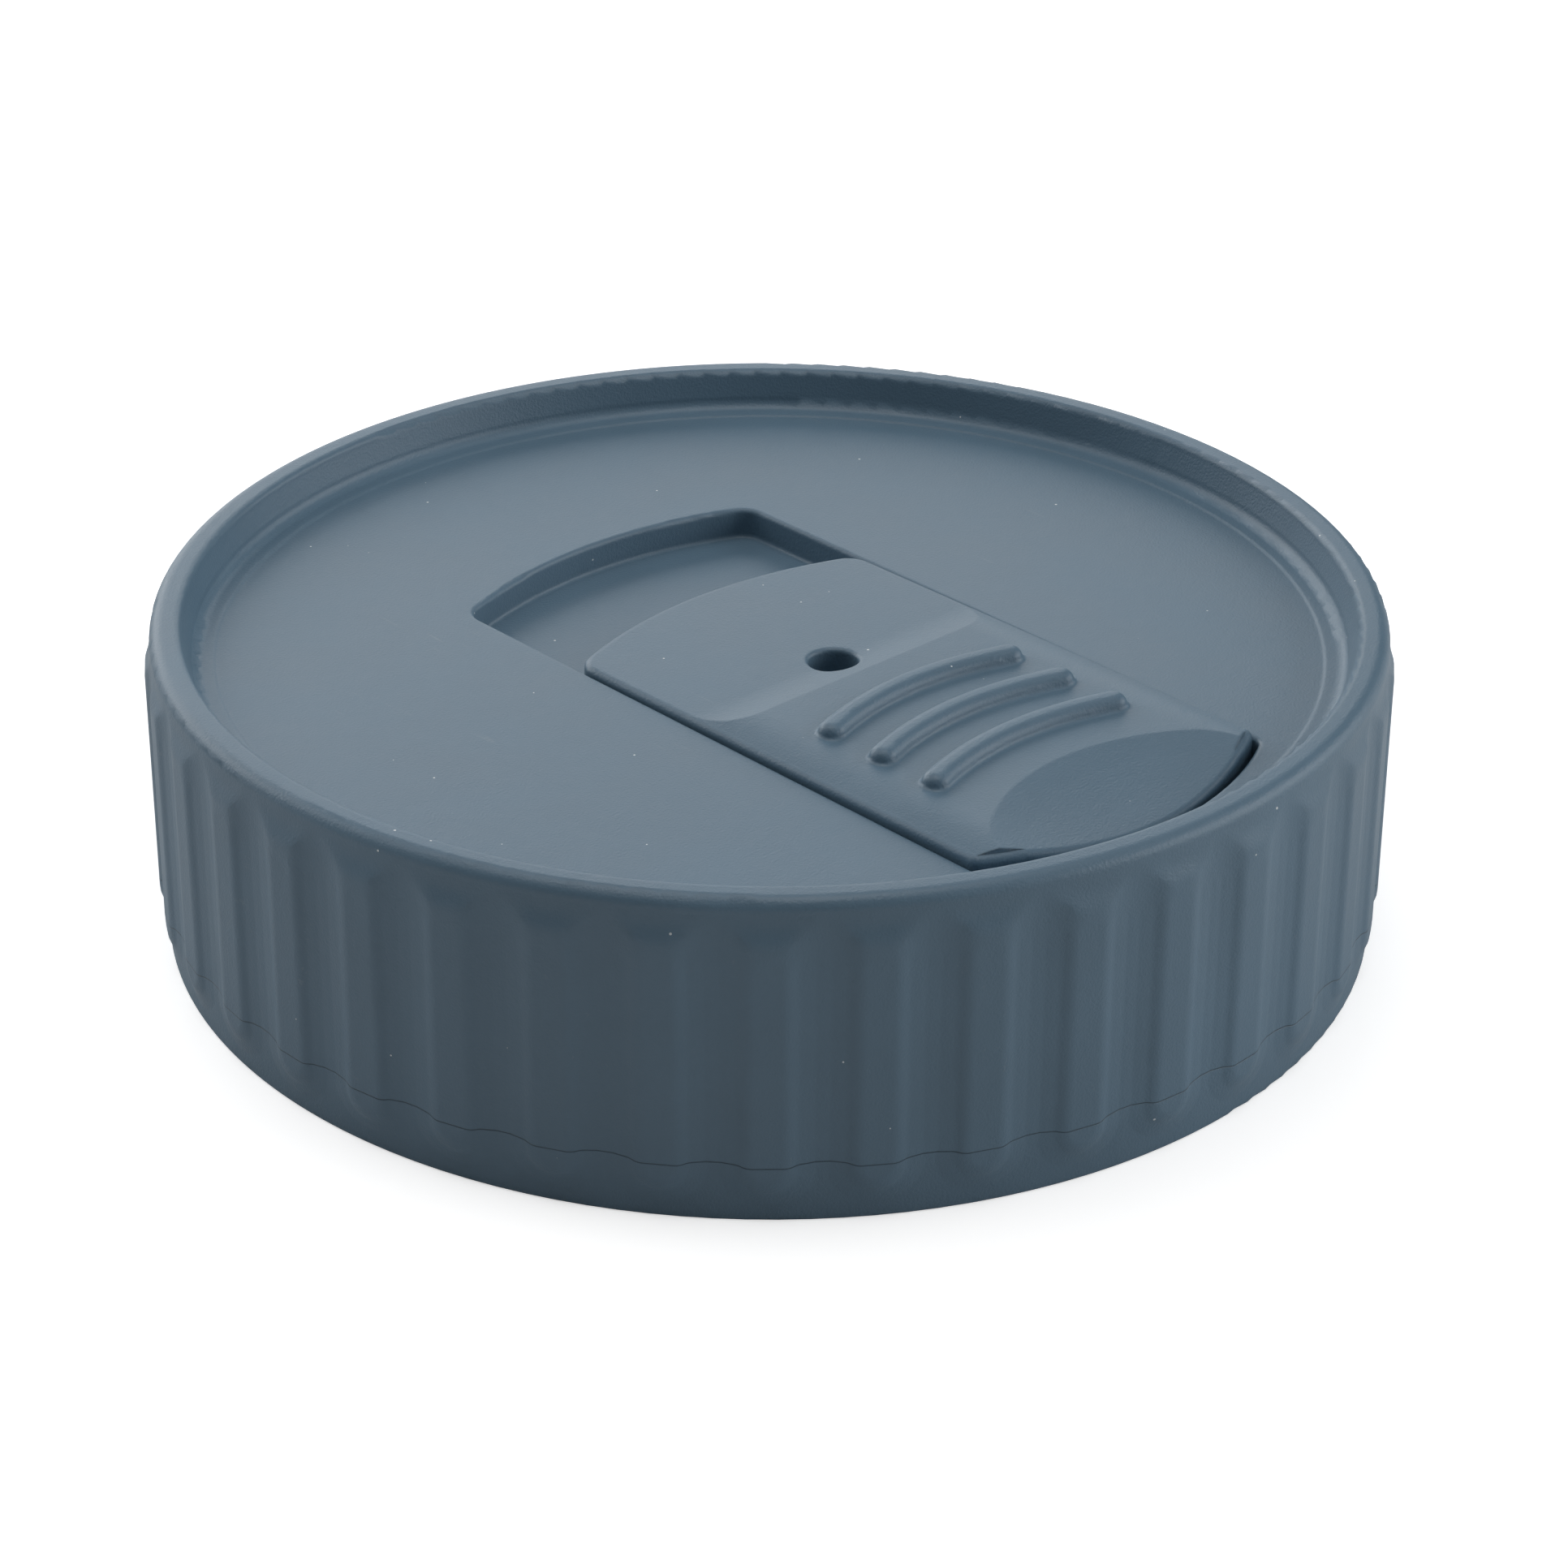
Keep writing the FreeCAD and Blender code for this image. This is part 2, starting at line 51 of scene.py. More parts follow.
class NodeSheet:
    """A node tree that is filled from left to right.

    Attributes:
        tree: The node tree being filled.
        column: The column that the next node is placed in.
    """

    def __init__(self, tree: bpy.types.NodeTree) -> None:
        """Start with an empty tree.

        Args:
            tree: The tree to fill.
        """
        self.tree = tree
        self.tree.nodes.clear()
        self.column = 0

    def add(self, kind: str, label: str, **settings: object) -> bpy.types.Node:
        """Place a node.

        Args:
            kind: The node's type.
            label: The name that it shows.
            **settings: Properties of the node to set.

        Returns:
            The new node.
        """
        node = self.tree.nodes.new(kind)
        node.label = label
        node.location = (self.column * 190, -(self.column % 5) * 210)
        self.column += 1
        for name, value in settings.items():
            setattr(node, name, value)
        return node

    def link(self, source: Socket, target: Socket) -> None:
        """Join an output to an input."""
        self.tree.links.new(source, target)

    def feed(self, node: bpy.types.Node, values: dict[str | int, object]) -> None:
        """Set or link several inputs of a node.

        Args:
            node: The node to feed.
            values: A plain value or an output socket for each input name or number.
        """
        for key, value in values.items():
            if isinstance(value, Socket):
                self.link(value, node.inputs[key])
            else:
                node.inputs[key].default_value = value

    def maths(
        self, operation: str, label: str, first: Value, second: Value = 0.0, third: float = 0.0
    ) -> Socket:
        """Combine numbers.

        Args:
            operation: The operation of the Math node.
            label: The name that the node shows.
            first: First number or socket.
            second: Second number or socket.
            third: Third number, where the operation has one.

        Returns:
            The result's socket.
        """
        node = self.add("ShaderNodeMath", label, operation=operation)
        self.feed(node, {0: first, 1: second, 2: third})
        return node.outputs[0]

    def ramp(self, label: str, source: Socket, low: float, high: float) -> Socket:
        """A smooth step between two levels of a value.

        Args:
            label: The name that the node shows.
            source: The value to step.
            low: Where the result is 0.
            high: Where the result is 1.

        Returns:
            The result's socket.
        """
        node = self.add("ShaderNodeMapRange", label, interpolation_type="SMOOTHSTEP")
        self.feed(node, {"Value": source, "From Min": low, "From Max": high})
        return node.outputs["Result"]

    def blend(self, label: str, share: Socket, first: object, second: object) -> Socket:
        """Mix two colours.

        Args:
            label: The name that the node shows.
            share: Share of the second colour.
            first: The first colour, or its socket.
            second: The second colour, or its socket.

        Returns:
            The mixed colour's socket.
        """
        node = self.add("ShaderNodeMix", label, data_type="RGBA")
        self.feed(node, {0: share, 6: first, 7: second})
        return node.outputs[2]

    def scaled(self, label: str, place: Socket, factor: Value) -> Socket:
        """Coordinates times a number.

        Args:
            label: The name that the node shows.
            place: The coordinates.
            factor: A number or socket to multiply by.

        Returns:
            The scaled coordinates' socket.
        """
        node = self.add("ShaderNodeVectorMath", label, operation="SCALE")
        self.feed(node, {"Vector": place, "Scale": factor})
        return node.outputs[0]

    def place_in_mm(self) -> Socket:
        """Coordinates that stay with the piece, in millimetres."""
        place = self.add("ShaderNodeTexCoord", "Place on the piece")
        return self.scaled("In millimetres", place.outputs["Object"], 1 / MM)

    def height_and_reach(self, place: Socket) -> tuple[Socket, Socket]:
        """Height above the floor and distance from the lid's axis.

        Args:
            place: The coordinates.

        Returns:
            The height's socket and the distance's socket, in the unit of the coordinates.
        """
        axes = self.add("ShaderNodeSeparateXYZ", "Axes")
        self.feed(axes, {0: place})
        flat = self.add("ShaderNodeCombineXYZ", "Seen from above")
        self.feed(flat, {0: axes.outputs[0], 1: axes.outputs[1]})
        reach = self.add("ShaderNodeVectorMath", "Distance from the axis", operation="LENGTH")
        self.feed(reach, {0: flat.outputs[0]})
        return axes.outputs[2], reach.outputs["Value"]

    def noise(
        self, label: str, place: Socket, detail: float, roughness: float = 0.5, scale: float = 1.0
    ) -> Socket:
        """Smooth cloudy noise.

        Args:
            label: The name that the node shows.
            place: The coordinates.
            detail: How many finer layers are added.
            roughness: How strong the finer layers are.
            scale: Waves per unit of the coordinates.

        Returns:
            The noise's socket, from 0 to 1.
        """
        node = self.add(Texture.NOISE.value, label, noise_dimensions="3D")
        self.feed(node, {"Vector": place, "Scale": scale, "Detail": detail, "Roughness": roughness})
        return node.outputs[0]


class EffectGroup:
    """A shader node group with named inputs and one output, built once and shared."""

    def __init__(self, name: str, inputs: dict[str, float], output: str) -> None:
        """Make the group's sockets.

        Args:
            name: The group's name.
            inputs: Each number input's name and its usual value.
            output: The name of the number that it puts out.
        """
        self.tree = bpy.data.node_groups.new(name, "ShaderNodeTree")
        self.sheet = NodeSheet(self.tree)
        sockets = self.tree.interface
        sockets.new_socket("Vector", in_out="INPUT", socket_type="NodeSocketVector")
        for socket, value in inputs.items():
            made = sockets.new_socket(socket, in_out="INPUT", socket_type="NodeSocketFloat")
            made.default_value = value
        sockets.new_socket(output, in_out="OUTPUT", socket_type="NodeSocketFloat")
        self.entry = self.sheet.add("NodeGroupInput", "Inputs").outputs
        self.exit = self.sheet.add("NodeGroupOutput", "Outputs").inputs

    def give(self, socket: Socket) -> None:
        """Send a socket out of the group."""
        self.sheet.link(socket, self.exit[0])

    def place(self, sheet: NodeSheet, vector: Socket, **values: float) -> Socket:
        """Put the group in a material.

        Args:
            sheet: The material's sheet.
            vector: The coordinates that it reads.
            **values: Input values, with spaces in names written as underscores.

        Returns:
            The socket of what the group puts out.
        """
        node = sheet.add("ShaderNodeGroup", self.tree.name)
        node.node_tree = self.tree
        sheet.feed(node, {"Vector": vector})
        for name, value in values.items():
            node.inputs[name.replace("_", " ")].default_value = value
        return node.outputs[0]


def moulded_grain_group() -> EffectGroup:
    """Fine spark-eroded mould texture: small rounded pits over softer unevenness.

    Returns:
        The group, with the height of the surface.
    """
    group = EffectGroup("Moulded grain", {"Grain Size": 0.16, "Softness": 0.5}, "Height")
    sheet, entry = group.sheet, group.entry
    density = sheet.maths("DIVIDE", "Grains per mm", 1.0, entry["Grain Size"])
    fine_place = sheet.scaled("Fine place", entry["Vector"], density)
    fine = sheet.noise("Fine grain", fine_place, 2.0, roughness=0.55)
    slow_density = sheet.maths("DIVIDE", "Slow waves per mm", 0.16, entry["Grain Size"])
    slow_place = sheet.scaled("Slow place", entry["Vector"], slow_density)
    slow = sheet.noise("Broad unevenness", slow_place, 1.0)
    mix = sheet.add("ShaderNodeMix", "Fine and broad", data_type="FLOAT")
    sheet.feed(mix, {0: entry["Softness"], 2: fine, 3: slow})
    group.give(mix.outputs[0])
    return group


def dust_group() -> EffectGroup:
    """Sparse pale specks of dust, each a small spot of its own size.

    Returns:
        The group, with a mask of the specks.
    """
    inputs = {"Spacing": 2.4, "Speck Radius": 0.09, "Share": 0.3}
    group = EffectGroup("Dust specks", inputs, "Mask")
    sheet, entry = group.sheet, group.entry
    density = sheet.maths("DIVIDE", "Cells per mm", 1.0, entry["Spacing"])
    cells = sheet.add(Texture.CELLS.value, "Speck cells", feature="F1")
    place = sheet.scaled("Cell place", entry["Vector"], density)
    sheet.feed(cells, {"Vector": place, "Scale": 1.0, "Randomness": 1.0})
    away = sheet.maths("MULTIPLY", "Millimetres away", cells.outputs["Distance"], entry["Spacing"])
    split = sheet.add("ShaderNodeSeparateColor", "Random values")
    sheet.feed(split, {0: cells.outputs["Color"]})
    chosen = sheet.maths("LESS_THAN", "Cell has a speck", split.outputs[0], entry["Share"])
    grown = sheet.maths("MULTIPLY_ADD", "Own size", split.outputs[1], 0.8, 0.35)
    radius = sheet.maths("MULTIPLY", "Own radius", grown, entry["Speck Radius"])
    inside = sheet.maths("LESS_THAN", "Inside the speck", away, radius)
    group.give(sheet.maths("MULTIPLY", "Speck", inside, chosen))
    return group


def scuff_group() -> EffectGroup:
    """Short fine scuffs along the slider's path, broken up so that only some show.

    Returns:
        The group, with a mask of the scuffs.
    """
    group = EffectGroup("Fine scuffs", {"Across": 2.2, "Along": 0.16, "Amount": 0.5}, "Mask")
    sheet, entry = group.sheet, group.entry
    stretch = sheet.add("ShaderNodeCombineXYZ", "Stretch")
    sheet.feed(stretch, {0: entry["Across"], 1: entry["Along"], 2: 1.0})
    place = sheet.add("ShaderNodeVectorMath", "Stretched place", operation="MULTIPLY")
    sheet.feed(place, {0: entry["Vector"], 1: stretch.outputs[0]})
    lines = sheet.noise("Hairlines", place.outputs[0], 3.0, roughness=0.7)
    thin = sheet.ramp("Thin lines", lines, 0.64, 0.72)
    patches = sheet.noise("Rubbed patches", sheet.scaled("Patch place", entry["Vector"], 0.12), 1.0)
    patchy = sheet.ramp("Patches", patches, 0.5, 0.68)
    shown = sheet.maths("MULTIPLY", "Lines in patches", thin, patchy)
    group.give(sheet.maths("MULTIPLY", "Scuffs", shown, entry["Amount"]))
    return group


def mottle_group() -> EffectGroup:
    """Slow variation of tone, as in coloured plastic that has been handled.

    Returns:
        The group, with a value around one half.
    """
    group = EffectGroup("Tone mottle", {"Patch Size": 14.0}, "Value")
    sheet, entry = group.sheet, group.entry
    density = sheet.maths("DIVIDE", "Patches per mm", 1.0, entry["Patch Size"])
    place = sheet.scaled("Patch place", entry["Vector"], density)
    group.give(sheet.noise("Mottle", place, 3.0, roughness=0.6))
    return group


@dataclass(frozen=True)
class EffectSet:
    """The shared effects, each built once."""

    grain: EffectGroup
    dust: EffectGroup
    scuffs: EffectGroup
    mottle: EffectGroup

    @classmethod
    def build(cls) -> "EffectSet":
        """Build every shared group."""
        return cls(moulded_grain_group(), dust_group(), scuff_group(), mottle_group())


@dataclass(frozen=True)
class Finish:
    """What a surface is made of.

    Attributes:
        name: The material's name.
    """

    name: str

    def build(self, effects: EffectSet) -> bpy.types.Material:
        """Make the material.

        Args:
            effects: The shared effects.

        Returns:
            The material.
        """
        material = bpy.data.materials.new(self.name)
        material.use_nodes = True
        sheet = NodeSheet(material.node_tree)
        surface = self.surface(sheet, effects)
        result = sheet.add("ShaderNodeOutputMaterial", "Result")
        sheet.link(surface, result.inputs[0])
        return material

    def surface(self, sheet: NodeSheet, effects: EffectSet) -> Socket:
        """Build the shader; each finish has its own."""
        raise NotImplementedError


@dataclass(frozen=True)
class MouldedPlastic(Finish):
    """Matte coloured plastic with a fine mould texture.

    Attributes:
        colour: Colour of the plastic.
        pale: Colour of the plastic where it is rubbed.
        dust_colour: Colour of a speck of dust.
        tone_spread: How far the tone goes either way, as a share.
        roughness: Usual roughness.
        roughness_spread: How far the roughness goes either way.
        refraction: Index of refraction.
        grain_size: Size of a grain of the mould texture, in millimetres.
        grain_height: Depth of the mould texture, in millimetres.
        grain_softness: Share of the slow unevenness in the mould texture.
        dust_share: Share of the dust cells that hold a speck.
        scuff_amount: Strength of the scuffs.
        edge_radius: Radius that edges are shaded with, in millimetres.
        edge_samples: Rays that the shading of an edge takes.
    """

    colour: Colour = (0.107, 0.180, 0.247)
    pale: Colour = (0.185, 0.245, 0.290)
    dust_colour: Colour = (0.62, 0.66, 0.68)
    tone_spread: float = 0.05
    roughness: float = 0.43
    roughness_spread: float = 0.03
    refraction: float = 1.49
    grain_size: float = 0.2
    grain_height: float = 0.05
    grain_softness: float = 0.3
    dust_share: float = 0.7
    scuff_amount: float = 0.35
    edge_radius: float = 0.35
    edge_samples: int = 8

    def surface(self, sheet: NodeSheet, effects: EffectSet) -> Socket:
        """Build the plastic's shader.

        Args:
            sheet: The material's sheet.
            effects: The shared effects.

        Returns:
            The shader's socket.
        """
        place = sheet.place_in_mm()
        mottle = effects.mottle.place(sheet, place)
        bump = sheet.add("ShaderNodeBump", "Mould texture")
        sheet.feed(bump, {
            "Height": self.relief(sheet, place, effects),
            "Strength": 1.0,
            "Distance": MM,
            "Normal": self.soft_normal(sheet, place),
        })
        plastic = sheet.add("ShaderNodeBsdfPrincipled", "Plastic surface")
        sheet.feed(plastic, {
            "Base Color": self.tint(sheet, place, mottle, effects),
            "Roughness": self.sheen(sheet, mottle),
            "Normal": bump.outputs[0],
            "IOR": self.refraction,
        })
        return plastic.outputs[0]

    def tint(self, sheet: NodeSheet, place: Socket, mottle: Socket, effects: EffectSet) -> Socket:
        """The surface's colour: mottled plastic with scuffs and dust on it.

        Args:
            sheet: The material's sheet.
            place: Coordinates in millimetres.
            mottle: The slow variation of tone.
            effects: The shared effects.

        Returns:
            The colour's socket.
        """
        tone = sheet.ramp("Tone", mottle, 0.2, 0.8)
        darker = rgba(self.colour, 1 - self.tone_spread)
        lighter = rgba(self.colour, 1 + self.tone_spread)
        body = sheet.blend("Plastic", tone, darker, lighter)
        scuffs = effects.scuffs.place(sheet, place, Amount=self.scuff_amount)
        rubbed = sheet.blend("Rubbed plastic", scuffs, body, rgba(self.pale))
        dust = effects.dust.place(sheet, place, Share=self.dust_share)
        return sheet.blend("Dust on plastic", dust, rubbed, rgba(self.dust_colour))

    def sheen(self, sheet: NodeSheet, mottle: Socket) -> Socket:
        """The surface's roughness, which follows the variation of tone.

        Args:
            sheet: The material's sheet.
            mottle: The slow variation of tone.

        Returns:
            The roughness's socket.
        """
        node = sheet.add("ShaderNodeMapRange", "Roughness")
        sheet.feed(node, {
            "Value": mottle,
            "From Min": 0.25,
            "From Max": 0.75,
            "To Min": self.roughness - self.roughness_spread,
            "To Max": self.roughness + self.roughness_spread,
        })
        return node.outputs["Result"]

    def relief(self, sheet: NodeSheet, place: Socket, effects: EffectSet) -> Socket:
        """Height of the mould texture, in millimetres.

        Args:
            sheet: The material's sheet.
            place: Coordinates in millimetres.
            effects: The shared effects.

        Returns:
            The height's socket.
        """
        grain = effects.grain.place(
            sheet, place, Grain_Size=self.grain_size, Softness=self.grain_softness
        )
        return sheet.maths("MULTIPLY", "Grain height", grain, self.grain_height)

    def soft_normal(self, sheet: NodeSheet, place: Socket) -> Socket:
        """The normal with every edge shaded as slightly rounded.

        Args:
            sheet: The material's sheet.
            place: Coordinates in millimetres.

        Returns:
            The normal's socket.
        """
        soft = sheet.add("ShaderNodeBevel", "Soft edges", samples=self.edge_samples)
        sheet.feed(soft, {"Radius": self.softness(sheet, place)})
        return soft.outputs[0]

    def softness(self, sheet: NodeSheet, place: Socket) -> Value:
        """Radius that edges are shaded with, in metres: the same all over this plastic."""
        return self.edge_radius * MM


@dataclass(frozen=True)
class LidPlastic(MouldedPlastic):
    """The lid body's plastic, with the fine line where the mould parts, its groove darkened by
    painted shade.

    Attributes:
        line_height: Height of the mould's parting line, in millimetres.
        line_width: Half width of that line, in millimetres.
        line_relief: Depth of that line, in millimetres.
        line_dip: How far the line drops for each millimetre that a rib stands out.
        line_painted_shade: Lightness of the painted shade in the line's groove, as a share of the
            plastic's.
        line_wander: How far the line wanders up and down in all, in millimetres.
        line_core: Share of the half width in which the line has its full depth.
        line_reach: How far inside the skirt's radius the line still shows, in millimetres.
        skirt_radius: Radius of the skirt between its ribs, in millimetres.
        rib_top_from: Height from which the ribs' tops are softened, in millimetres.
        rib_top_fade: Height over which that softening comes in, in millimetres.
        rib_top_softness: Radius that is added at the ribs' tops, in millimetres.
        rim_foot: Height at which the rim's rounding begins, in millimetres.
        rim_fade: Height under the rim over which the softening goes, in millimetres.
        wall_margin: How far inside the skirt's radius still counts as outside, in millimetres.
    """

    line_height: float = 4.8
    line_width: float = 0.07
    line_relief: float = 0.03
    line_dip: float = 0.5
    line_painted_shade: float = 0.5
    line_wander: float = 0.2
    line_core: float = 0.3
    line_reach: float = 0.5
    skirt_radius: float = 45.9
    rib_top_from: float = 20.0
    rib_top_fade: float = 0.8
    rib_top_softness: float = 1.1
    rim_foot: float = 24.0
    rim_fade: float = 0.3
    wall_margin: float = 0.1

    def relief(self, sheet: NodeSheet, place: Socket, effects: EffectSet) -> Socket:
        """Height of the mould texture with the parting line in it, in millimetres.

        Args:
            sheet: The material's sheet.
            place: Coordinates in millimetres.
            effects: The shared effects.

        Returns:
            The height's socket.
        """
        texture = MouldedPlastic.relief(self, sheet, place, effects)
        off_line = self.off_line(sheet, place)
        line = sheet.maths("MULTIPLY", "Line's depth", off_line, self.line_relief)
        return sheet.maths("ADD", "Grain and line", texture, line)

    def tint(self, sheet: NodeSheet, place: Socket, mottle: Socket, effects: EffectSet) -> Socket:
        """The surface's colour, with painted shade darkening the parting line's groove.

        Args:
            sheet: The material's sheet.
            place: Coordinates in millimetres.
            mottle: The slow variation of tone.
            effects: The shared effects.

        Returns:
            The colour's socket.
        """
        plain = MouldedPlastic.tint(self, sheet, place, mottle, effects)
        # Painted shade: the colour is darkened along the parting line's fine groove, where shade
        # would fall.
        painted_shade = rgba(self.colour, self.line_painted_shade)
        return sheet.blend("Painted shade in the parting line", self.off_line(sheet, place), painted_shade, plain)

    def softness(self, sheet: NodeSheet, place: Socket) -> Value:
        """Radius that edges are shaded with, in metres: larger at the ribs' tops.

        Args:
            sheet: The material's sheet.
            place: Coordinates in millimetres.

        Returns:
            The radius's socket.
        """
        height, reach = sheet.height_and_reach(place)
        full = self.rib_top_from + self.rib_top_fade
        high = sheet.ramp("Rib tops", height, self.rib_top_from, full)
        low = sheet.ramp("Under the rim", height, self.rim_foot, self.rim_foot - self.rim_fade)
        outer_wall = self.skirt_radius - self.wall_margin
        outside = sheet.maths("GREATER_THAN", "Outside", reach, outer_wall)
        band = sheet.maths("MULTIPLY", "Band", high, low)
        top = sheet.maths("MULTIPLY", "Rib top band", band, outside)
        added, usual = self.rib_top_softness * MM, self.edge_radius * MM
        return sheet.maths("MULTIPLY_ADD", "Edge radius", top, added, usual)

    def off_line(self, sheet: NodeSheet, place: Socket) -> Socket:
        """How far off the parting line a place is: 0 on the line and 1 beside it.

        Args:
            sheet: The material's sheet.
            place: Coordinates in millimetres.

        Returns:
            The mask's socket.
        """
        height, reach = sheet.height_and_reach(place)
        proud = sheet.maths("SUBTRACT", "Proud of the skirt", reach, self.skirt_radius)
        dip = sheet.maths("MULTIPLY", "Dip over a rib", proud, self.line_dip)
        wave = sheet.noise("Wandering line", place, 1.0, scale=0.1)
        lowest = self.line_height - self.line_wander / 2
        lift = sheet.maths("MULTIPLY_ADD", "Wander height", wave, self.line_wander, lowest)
        level = sheet.maths("SUBTRACT", "Line's height", lift, dip)
        above = sheet.maths("SUBTRACT", "Above the line", height, level)
        away = sheet.maths("ABSOLUTE", "Off the line", above)
        inner_side = self.skirt_radius - self.line_reach
        inside = sheet.maths("LESS_THAN", "Inside the skirt", reach, inner_side)
        mask = sheet.ramp("Line", away, self.line_core * self.line_width, self.line_width)
        return sheet.maths("MAXIMUM", "Only on the outside", mask, inside)


@dataclass(frozen=True)
class SoftSeal(Finish):
    """Soft translucent material of the sealing ring.

    Attributes:
        colour: Colour of the ring.
        darkest: Lightness of its darkest patches, as a share.
        roughness: Roughness all over.
        refraction: Index of refraction.
        glow_through: Share of the light that goes through the surface.
        glow_depth: How deep that light goes, in metres.
        patch_size: Size of a patch of tone, in millimetres.
        grain_size: Size of a grain of the surface, in millimetres.
        grain_height: Depth of the surface's grain, in millimetres.
    """

    colour: Colour = (0.60, 0.62, 0.63)
    darkest: float = 0.92
    roughness: float = 0.5
    refraction: float = 1.41
    glow_through: float = 0.25
    glow_depth: float = 0.002
    patch_size: float = 9.0
    grain_size: float = 0.3
    grain_height: float = 0.006

    def surface(self, sheet: NodeSheet, effects: EffectSet) -> Socket:
        """Build the ring's shader.

        Args:
            sheet: The material's sheet.
            effects: The shared effects.

        Returns:
            The shader's socket.
        """
        place = sheet.place_in_mm()
        mottle = effects.mottle.place(sheet, place, Patch_Size=self.patch_size)
        body = sheet.blend(
            "Ring colour", mottle, rgba(self.colour, self.darkest), rgba(self.colour)
        )
        grain = effects.grain.place(sheet, place, Grain_Size=self.grain_size)
        height = sheet.maths("MULTIPLY", "Grain height", grain, self.grain_height)
        bump = sheet.add("ShaderNodeBump", "Soft texture")
        sheet.feed(bump, {"Height": height, "Strength": 1.0, "Distance": MM})
        soft = sheet.add("ShaderNodeBsdfPrincipled", "Seal surface")
        sheet.feed(soft, {
            "Base Color": body,
            "Roughness": self.roughness,
            "Normal": bump.outputs[0],
            "Subsurface Weight": self.glow_through,
            "Subsurface Scale": self.glow_depth,
            "IOR": self.refraction,
        })
        return soft.outputs[0]


@dataclass
class PackedPiece:
    """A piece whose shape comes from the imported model.

    Attributes:
        node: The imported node's name.
        finish: Its finish.
    """

    node: str
    finish: Finish

    def dress(self, effects: EffectSet) -> list[bpy.types.Object]:
        """Give the piece its finish.

        Args:
            effects: The shared effects.

        Returns:
            The dressed pieces.
        """
        material = self.finish.build(effects)
        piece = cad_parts[self.node]
        for slot in piece.material_slots:
            slot.material = material
        return [piece]


@dataclass
class LidBody(PackedPiece):
    """The screw lid itself: ribbed skirt, rim, deck and recess."""

    node: str = "lid_body"
    finish: Finish = field(default_factory=lambda: LidPlastic("Lid plastic"))


@dataclass
class SlidingClosure(PackedPiece):
    """The slider that covers the drinking opening."""

    node: str = "slider"
    finish: Finish = field(default_factory=lambda: MouldedPlastic("Slider plastic"))


@dataclass
class SealingRing(PackedPiece):
    """The soft ring that seals on the jar's lip."""

    node: str = "sealing_ring"
    finish: Finish = field(default_factory=lambda: SoftSeal("Soft seal"))


@dataclass(frozen=True)
class FloorWhite(Finish):
    """Pale matte floor that the camera sees as white, with the lid's shadow on it.

    Attributes:
        lightness: Lightness of the floor.
        lift: White that the camera sees over that, beside the lid.
        covered: Radius that the lid covers, where nothing is added, in metres.
    """

    lightness: float = 0.78
    lift: float = 0.62
    covered: float = 0.0448

    def surface(self, sheet: NodeSheet, effects: EffectSet) -> Socket:
        """Build the floor's shader.

        Args:
            sheet: The material's sheet.
            effects: The shared effects, none of which the floor uses.

        Returns:
            The shader's socket.
        """
        ray = sheet.add("ShaderNodeLightPath", "Ray kind")
        place = sheet.add("ShaderNodeTexCoord", "Place on the floor")
        reach = sheet.height_and_reach(place.outputs["Object"])[1]
        beside = sheet.ramp("Beside the lid", reach, self.covered - MM, self.covered)
        lift = sheet.maths("MULTIPLY", "Lift", beside, self.lift)
        matte = sheet.add("ShaderNodeBsdfDiffuse", "Matte floor")
        sheet.feed(matte, {"Color": rgba(WHITE, self.lightness)})
        glow = sheet.add("ShaderNodeEmission", "Paper white")
        sheet.feed(glow, {"Color": rgba(WHITE), "Strength": lift})
        seen = sheet.add("ShaderNodeAddShader", "Floor as seen")
        sheet.feed(seen, {0: matte.outputs[0], 1: glow.outputs[0]})
        mix = sheet.add("ShaderNodeMixShader", "By ray")
        sheet.feed(mix, {
            0: ray.outputs["Is Camera Ray"],
            1: matte.outputs[0],
            2: seen.outputs[0],
        })
        return mix.outputs[0]


@dataclass(frozen=True)
class Softbox:
    """A rectangular lamp that faces the lid.

    Attributes:
        name: The lamp's name.
        place: Its centre, in metres.
        sides: Its width and height, in metres.
        power: Its power, in watts.
    """

    name: str
    place: Point
    sides: tuple[float, float]
    power: float

    def hang(self, target: Vector) -> None:
        """Hang the lamp.

        Args:
            target: The point that it faces.
        """
        light = bpy.data.lights.new(self.name, "AREA")
        light.shape = "RECTANGLE"
        light.size, light.size_y = self.sides
        light.energy = self.power
        lamp = bpy.data.objects.new(self.name, light)
        bpy.context.scene.collection.objects.link(lamp)
        lamp.location = self.place
        aim = target - Vector(self.place)
        lamp.rotation_euler = aim.to_track_quat("-Z", "Y").to_euler()


SOFTBOXES = (
    Softbox("Overhead", (0.0, 0.0, 0.9), (0.6, 0.6), 2.8),
    Softbox("Back", (0.6115, 0.6604, 0.35), (0.5, 0.5), 1.3),
    Softbox("Left back", (-0.0557, 0.8966, 0.34), (1.1, 0.55), 5.3),
    Softbox("Left above", (-0.3356, 0.4471, 0.7), (0.5, 0.5), 0.9),
    Softbox("Right side", (0.6604, -0.6115, 0.34), (1.1, 0.55), 5.1),
)


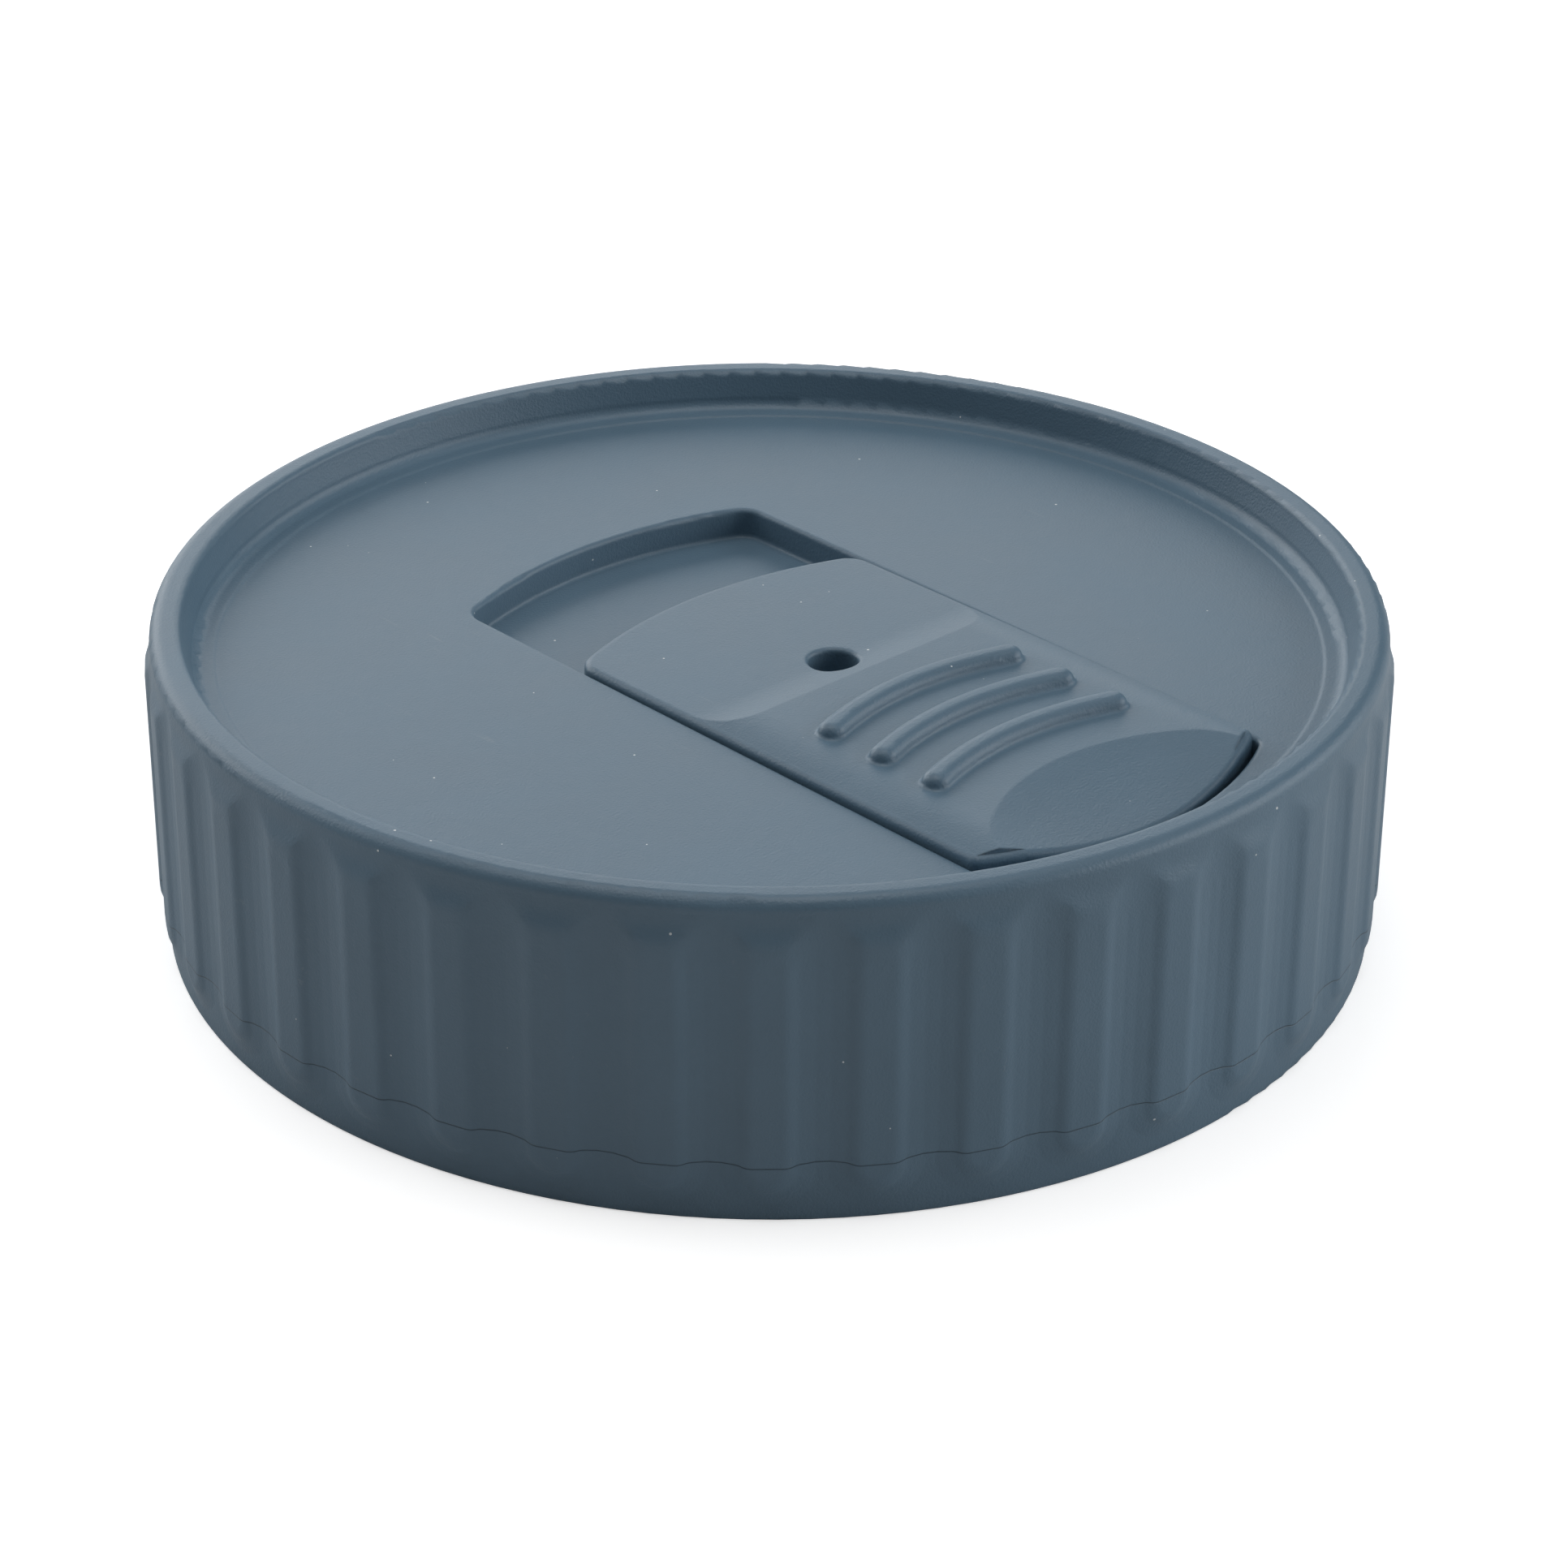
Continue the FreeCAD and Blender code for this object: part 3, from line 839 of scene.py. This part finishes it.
@dataclass
class Studio:
    """Plain pale floor, soft lamps and a white surround.

    Attributes:
        floor_size: Side of the floor, in metres.
        target_height: Height on the lid's axis that the lamps face, in metres.
        surround: Strength of the world's light.
    """

    floor_size: float = 6.0
    target_height: float = 0.011
    surround: float = 0.05

    def build(self, effects: EffectSet) -> list[bpy.types.Object]:
        """Make the floor, the lamps and the world.

        Args:
            effects: The shared effects.

        Returns:
            The stage pieces.
        """
        self.world()
        for softbox in SOFTBOXES:
            softbox.hang(Vector((0, 0, self.target_height)))
        return [self.floor(effects)]

    def floor(self, effects: EffectSet) -> bpy.types.Object:
        """Make the floor.

        Args:
            effects: The shared effects.

        Returns:
            The floor.
        """
        mesh = bpy.data.meshes.new("Floor")
        half = self.floor_size / 2
        corners = [(-half, -half, 0), (half, -half, 0), (half, half, 0), (-half, half, 0)]
        mesh.from_pydata(corners, [], [(0, 1, 2, 3)])
        mesh.materials.append(FloorWhite("Floor white").build(effects))
        floor = bpy.data.objects.new("Floor", mesh)
        bpy.context.scene.collection.objects.link(floor)
        return floor

    def world(self) -> None:
        """White to the camera, faint plain light to everything else."""
        world = bpy.data.worlds.new("Surround")
        world.use_nodes = True
        bpy.context.scene.world = world
        sheet = NodeSheet(world.node_tree)
        ray = sheet.add("ShaderNodeLightPath", "Ray kind")
        lit = sheet.add("ShaderNodeBackground", "Light")
        sheet.feed(lit, {"Color": rgba(WHITE), "Strength": self.surround})
        seen = sheet.add("ShaderNodeBackground", "Seen white")
        sheet.feed(seen, {"Color": rgba(WHITE), "Strength": 1.0})
        mix = sheet.add("ShaderNodeMixShader", "By ray")
        sheet.feed(mix, {0: ray.outputs["Is Camera Ray"], 1: lit.outputs[0], 2: seen.outputs[0]})
        result = sheet.add("ShaderNodeOutputWorld", "Result")
        sheet.link(mix.outputs[0], result.inputs[0])


@dataclass
class ProductCamera:
    """Camera at the viewing angle of the reference picture.

    Attributes:
        frame_px: Side of the square picture, in pixels.
        focal_px: Focal length, in pixels.
        distance: Distance from the aim point, in metres.
        azimuth: Direction of the camera round the lid, in degrees.
        elevation: Height of the camera above the horizon, in degrees.
        aim_height: Height of the aim point on the axis, in metres.
        aim_px: Where the aim point falls in the picture, in pixels.
        roll: Roll about the line of sight, in degrees.
        sensor: Sensor width, in millimetres.
        nearest: Distance from which the camera sees, in metres.
    """

    frame_px: float = 1932.0
    focal_px: float = 5326.524
    distance: float = 0.328167
    azimuth: float = -42.8
    elevation: float = 27.779
    aim_height: float = 0.0112
    aim_px: tuple[float, float] = (948.111, 936.983)
    roll: float = -0.2
    sensor: float = 36.0
    nearest: float = 0.01

    def build(self) -> None:
        """Make the camera and use it."""
        data = bpy.data.cameras.new("Product camera")
        data.sensor_width = self.sensor
        data.lens = self.focal_px / self.frame_px * self.sensor
        data.clip_start = self.nearest
        camera = bpy.data.objects.new("Product camera", data)
        bpy.context.scene.collection.objects.link(camera)
        camera.matrix_world = self.pose()
        bpy.context.scene.camera = camera

    def pose(self) -> Matrix:
        """Place and orientation of the camera.

        Returns:
            The camera's matrix.
        """
        turn = Matrix.Rotation(math.radians(self.azimuth), 4, "Z")
        tilt = Matrix.Rotation(math.radians(90 - self.elevation), 4, "X")
        aimed = turn @ tilt
        middle = self.frame_px / 2
        yaw = math.atan((self.aim_px[0] - middle) / self.focal_px)
        pitch = math.atan((self.aim_px[1] - middle) / self.focal_px)
        look = (
            Matrix.Rotation(math.radians(-self.roll), 4, "Z")
            @ Matrix.Rotation(yaw, 4, "Y")
            @ Matrix.Rotation(pitch, 4, "X")
        )
        backwards = aimed.to_3x3() @ Vector((0, 0, self.distance))
        centre = Vector((0, 0, self.aim_height)) + backwards
        return Matrix.Translation(centre) @ aimed @ look


def plain_view() -> None:
    """Show colours as they are written."""
    bpy.context.scene.view_settings.view_transform = "Standard"


def main() -> None:
    """Dress every piece, then set up the studio and the camera."""
    logging.basicConfig(level=logging.INFO, format="%(name)s: %(message)s")
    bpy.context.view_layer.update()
    plain_view()
    ProductCamera().build()
    effects = EffectSet.build()
    for assembly in (LidBody(), SlidingClosure(), SealingRing()):
        for piece in assembly.dress(effects):
            log.info("%s: %s", type(assembly).__name__, piece.name)
    for piece in Studio().build(effects):
        log.info("Studio: %s", piece.name)


if __name__ == "__main__":
    main()
